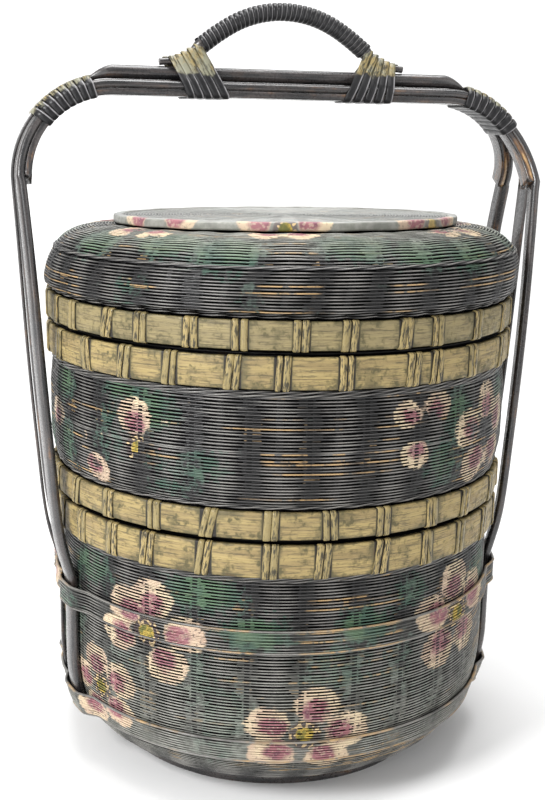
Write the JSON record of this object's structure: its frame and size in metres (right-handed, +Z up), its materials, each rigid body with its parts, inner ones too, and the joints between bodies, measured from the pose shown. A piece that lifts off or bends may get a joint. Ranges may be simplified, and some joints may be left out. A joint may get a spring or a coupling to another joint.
{
  "type": "tiered bamboo food basket",
  "caption": "Round tiered basket of woven bamboo with banded rims, a domed lift-off lid, an arched carrying handle and a small wrapped grip on top.",
  "frame": {"origin": "centre of the foot ring's underside, on the surface that the basket stands on", "axes": "+Z up; the handle's plane lies along X; the front faces -Y"},
  "size_m": [0.3406, 0.306, 0.477],
  "materials": {
    "painted_weave": "worn satin lacquer over fine weave",
    "floor_weave": "plain aged weave",
    "gold_bamboo": "aged gold paint, satin",
    "lacquered_bamboo": "worn gloss lacquer",
    "plain_bamboo": "aged satin",
    "tie_cane": "aged olive gold, satin"
  },
  "bodies": {
    "base": {"foot_ring": "lacquered_bamboo", "lower_tier_wall": "painted_weave", "lower_tier_floor": "floor_weave", "lower_tier_front_batten": "plain_bamboo", "lower_tier_rear_batten": "plain_bamboo", "lower_tier_rim_band": "gold_bamboo", "lower_tier_inner_hoop": "plain_bamboo", "upper_belt": "painted_weave", "lower_belt": "painted_weave", "front_bow": "lacquered_bamboo", "rear_bow": "lacquered_bamboo", "front_liner": "plain_bamboo", "rear_liner": "plain_bamboo", "left_outer_strip": "lacquered_bamboo", "right_outer_strip": "lacquered_bamboo", "top_rail": "lacquered_bamboo", "grip_core": "plain_bamboo", "grip_wrapping": "lacquered_bamboo", "left_shoulder_lashing": "tie_cane", "right_shoulder_lashing": "tie_cane", "left_grip_tie": "tie_cane", "right_grip_tie": "tie_cane"},
    "upper_tier": {"upper_tier_wall": "painted_weave", "upper_tier_floor": "floor_weave", "upper_tier_front_batten": "plain_bamboo", "upper_tier_rear_batten": "plain_bamboo", "upper_tier_foot_band": "gold_bamboo", "upper_tier_rim_band": "gold_bamboo", "upper_tier_inner_hoop": "plain_bamboo"},
    "lid": {"lid_wall": "painted_weave", "lid_top_disc": "painted_weave", "lid_rim_band": "gold_bamboo", "lid_inner_hoop": "plain_bamboo"}
  },
  "joints": [
    {"name": "upper_tier_lift", "type": "slide", "parent": "base", "child": "upper_tier", "axis": [0, 0, 1], "range_m": [0, 0.024]},
    {"name": "lid_lift", "type": "slide", "parent": "upper_tier", "child": "lid", "axis": [0, 0, 1], "range_m": [0, 0.032]}
  ]
}
